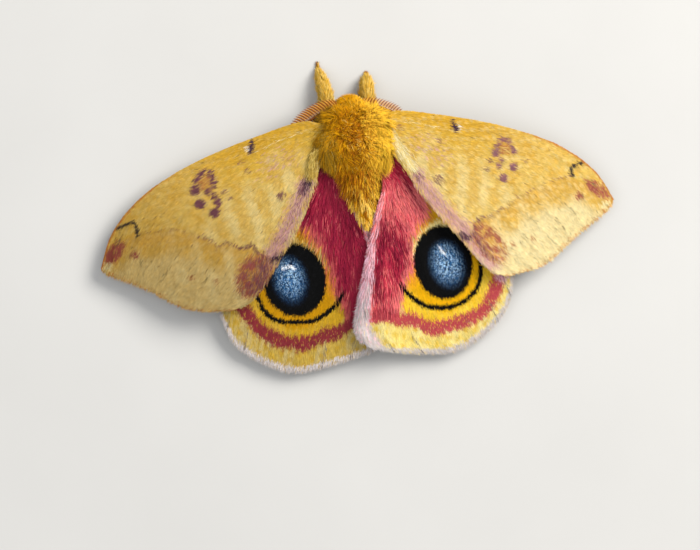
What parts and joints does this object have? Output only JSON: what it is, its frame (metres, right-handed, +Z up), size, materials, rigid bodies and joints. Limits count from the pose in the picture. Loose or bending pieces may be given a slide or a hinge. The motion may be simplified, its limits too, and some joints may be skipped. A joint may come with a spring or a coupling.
{
  "type": "io moth",
  "caption": "Male io moth at rest, life size, half-spread yellow forewings over crimson hindwings with large blue-black eyespots.",
  "frame": {"origin": "middle of the whole moth's box seen from above, on the surface that its feet rest on", "axes": "-Y towards the head, +X towards the moth's own left wings, +Z up"},
  "size_m": [0.069, 0.041, 0.0097],
  "materials": {
    "thorax_fur": "dense golden orange hair",
    "abdomen_fur": "golden hair, shorter than on the thorax",
    "head_fur": "short ochre hair",
    "leg_fur": "short yellow-ochre hair lying flat",
    "eye": "glossy dark brown",
    "antenna_cuticle": "orange-brown, slight sheen",
    "forewing_scales": "fine golden scales and down, matt",
    "hindwing_scales": "fine crimson, gold and black scales and down, matt"
  },
  "bodies": {
    "root": {"abdomen": "abdomen_fur", "antenna_left": "antenna_cuticle", "antenna_right": "antenna_cuticle", "eye_left": "eye", "eye_right": "eye", "fore_leg_left": "leg_fur", "fore_leg_right": "leg_fur", "forewing_left": "forewing_scales", "forewing_right": "forewing_scales", "head": "head_fur", "hind_leg_left": "leg_fur", "hind_leg_right": "leg_fur", "hindwing_left": "hindwing_scales", "hindwing_right": "hindwing_scales", "mid_leg_left": "leg_fur", "mid_leg_right": "leg_fur", "palp_left": "head_fur", "palp_right": "head_fur", "thorax": "thorax_fur"}
  },
  "joints": []
}
